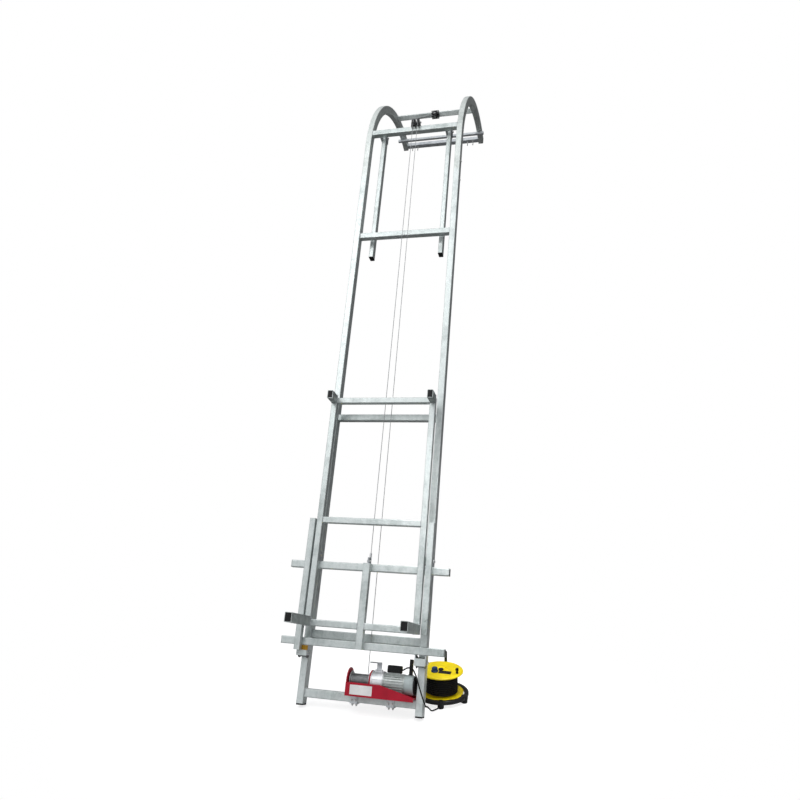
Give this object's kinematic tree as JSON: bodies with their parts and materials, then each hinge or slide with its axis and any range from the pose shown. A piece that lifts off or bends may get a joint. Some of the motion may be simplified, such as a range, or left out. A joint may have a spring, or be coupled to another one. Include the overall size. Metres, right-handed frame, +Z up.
{
  "type": "material hoist",
  "caption": "leaning twin-rail hoist hung by bent hooks, with a rope-hauled fork carriage on rollers, electric drum winch, rope blocks, folding legs and cable reel",
  "frame": {"origin": "midway between the hooks, on the underside of their crest, where the hoist hangs", "axes": "X to the right, Y to the back, Z up"},
  "size_m": [1.0002, 2.6737, 4.0697],
  "materials": {
    "galvanised_tube": "hot dip galvanised, satin",
    "zinc_hardware": "zinc plated",
    "black_rubber": "matt",
    "black_plastic": "matt",
    "dark_sheave": "satin",
    "dark_roller": "satin polyurethane",
    "red_paint": "gloss powder coat",
    "grey_metal": "satin",
    "cast_alloy": "cast, satin",
    "wire_rope": "stranded wire",
    "black_tube": "satin",
    "yellow_plastic": "gloss",
    "black_cable": "matt"
  },
  "bodies": {
    "frame": {"left_rail": "galvanised_tube", "right_rail": "galvanised_tube", "left_hook": "galvanised_tube", "right_hook": "galvanised_tube", "rail_splices": "zinc_hardware", "rubber_feet": "black_rubber", "hook_caps": "black_plastic", "upper_rung": "galvanised_tube", "middle_rung": "galvanised_tube", "lower_rung": "galvanised_tube", "winch_beam": "galvanised_tube", "front_head_bar": "galvanised_tube", "rear_head_bar": "galvanised_tube", "grab_bar": "zinc_hardware", "end_bar": "zinc_hardware", "end_bar_bolts": "zinc_hardware", "block_plates": "dark_sheave", "sheave_axles": "zinc_hardware", "leg_brackets": "zinc_hardware", "leg_pins": "zinc_hardware", "winch_bed": "red_paint", "winch_plates": "red_paint", "winch_skirts": "red_paint", "beam_saddles": "zinc_hardware", "gear_case": "cast_alloy", "motor_shell": "grey_metal", "motor_cover": "grey_metal", "capacitor_box": "black_plastic", "wire_rope": "wire_rope", "lift_rope": "wire_rope", "reel_stand": "black_tube", "supply_cable": "black_cable"},
    "carriage": {"cross_tubes": "galvanised_tube", "outer_guides": "galvanised_tube", "uprights": "galvanised_tube", "frame_bars": "galvanised_tube", "centre_post": "galvanised_tube", "fork_arms": "galvanised_tube", "top_arms": "galvanised_tube", "arm_caps": "black_plastic", "rope_anchor": "zinc_hardware", "roller_plates": "zinc_hardware", "roller_axles": "zinc_hardware"},
    "left_upper_roller": {"left_upper_roller": "dark_roller"},
    "right_upper_roller": {"right_upper_roller": "dark_roller"},
    "left_lower_roller": {"left_lower_roller": "dark_roller"},
    "right_lower_roller": {"right_lower_roller": "dark_roller"},
    "right_sheave": {"right_sheave": "dark_sheave"},
    "left_sheave": {"left_sheave": "dark_sheave"},
    "return_sheave": {"return_sheave": "dark_sheave"},
    "left_leg": {"left_leg": "galvanised_tube", "left_leg_cap": "black_plastic"},
    "right_leg": {"right_leg": "galvanised_tube", "right_leg_cap": "black_plastic"},
    "drum": {"drum": "grey_metal", "drum_winding": "wire_rope"},
    "rotor": {"motor_rotor": "zinc_hardware"},
    "limit_lever": {"limit_lever": "zinc_hardware"},
    "reel": {"reel_drum": "yellow_plastic", "reel_winding": "black_cable"}
  },
  "joints": [
    {"name": "carriage_slide", "type": "slide", "parent": "frame", "child": "carriage", "axis": [0, 0.342, 0.9397], "range_m": [0, 2.8], "deforming": ["lift_rope"]},
    {"name": "left_upper_roller_spin", "type": "hinge", "parent": "carriage", "child": "left_upper_roller", "pos_m": [-0.33, -1.80618, -3.23171], "axis": [1, 0, 0], "continuous": true},
    {"name": "right_upper_roller_spin", "type": "hinge", "parent": "carriage", "child": "right_upper_roller", "pos_m": [0.33, -1.80618, -3.23171], "axis": [1, 0, 0], "continuous": true},
    {"name": "left_lower_roller_spin", "type": "hinge", "parent": "carriage", "child": "left_lower_roller", "pos_m": [-0.33, -1.98608, -3.72599], "axis": [1, 0, 0], "continuous": true},
    {"name": "right_lower_roller_spin", "type": "hinge", "parent": "carriage", "child": "right_lower_roller", "pos_m": [0.33, -1.98608, -3.72599], "axis": [1, 0, 0], "continuous": true},
    {"name": "left_sheave_spin", "type": "hinge", "parent": "frame", "child": "left_sheave", "pos_m": [-0.005, -0.71377, -0.33355], "axis": [1, 0, 0], "continuous": true},
    {"name": "right_sheave_spin", "type": "hinge", "parent": "frame", "child": "right_sheave", "pos_m": [0.027, -0.71377, -0.33355], "axis": [1, 0, 0], "continuous": true},
    {"name": "return_sheave_spin", "type": "hinge", "parent": "frame", "child": "return_sheave", "pos_m": [0.011, -0.04087, 0.00671], "axis": [0, 0.4226, -0.9063], "continuous": true},
    {"name": "drum_spin", "type": "hinge", "parent": "frame", "child": "drum", "pos_m": [0, -1.98575, -3.85168], "axis": [1, 0, 0], "continuous": true},
    {"name": "rotor_spin", "type": "hinge", "parent": "frame", "child": "rotor", "pos_m": [0.15, -1.98575, -3.85168], "axis": [1, 0, 0], "continuous": true},
    {"name": "left_leg_fold", "type": "hinge", "parent": "frame", "child": "left_leg", "pos_m": [-0.241, -0.63442, -0.3933], "axis": [1, 0, 0], "range_deg": [0, 80]},
    {"name": "right_leg_fold", "type": "hinge", "parent": "frame", "child": "right_leg", "pos_m": [0.241, -0.63442, -0.3933], "axis": [1, 0, 0], "range_deg": [0, 80]},
    {"name": "limit_lever_tip", "type": "hinge", "parent": "frame", "child": "limit_lever", "pos_m": [0.09, -1.96571, -3.79662], "axis": [1, 0, 0], "range_deg": [-15, 15], "stiffness_Nm_per_rad": 0.5},
    {"name": "reel_spin", "type": "hinge", "parent": "frame", "child": "reel", "pos_m": [0.386, -1.72226, -3.97982], "axis": [0, -0.0349, 0.9994], "continuous": true}
  ],
  "couplings": [
    {"joint": "left_upper_roller_spin", "follows": "carriage_slide", "rad_per_m": -40},
    {"joint": "right_upper_roller_spin", "follows": "carriage_slide", "rad_per_m": -40},
    {"joint": "left_lower_roller_spin", "follows": "carriage_slide", "rad_per_m": -40},
    {"joint": "right_lower_roller_spin", "follows": "carriage_slide", "rad_per_m": -40},
    {"joint": "left_sheave_spin", "follows": "carriage_slide", "rad_per_m": -41.667},
    {"joint": "right_sheave_spin", "follows": "carriage_slide", "rad_per_m": 41.667},
    {"joint": "return_sheave_spin", "follows": "carriage_slide", "rad_per_m": 62.5},
    {"joint": "drum_spin", "follows": "carriage_slide", "rad_per_m": 31.25},
    {"joint": "rotor_spin", "follows": "carriage_slide", "rad_per_m": 187.5}
  ]
}
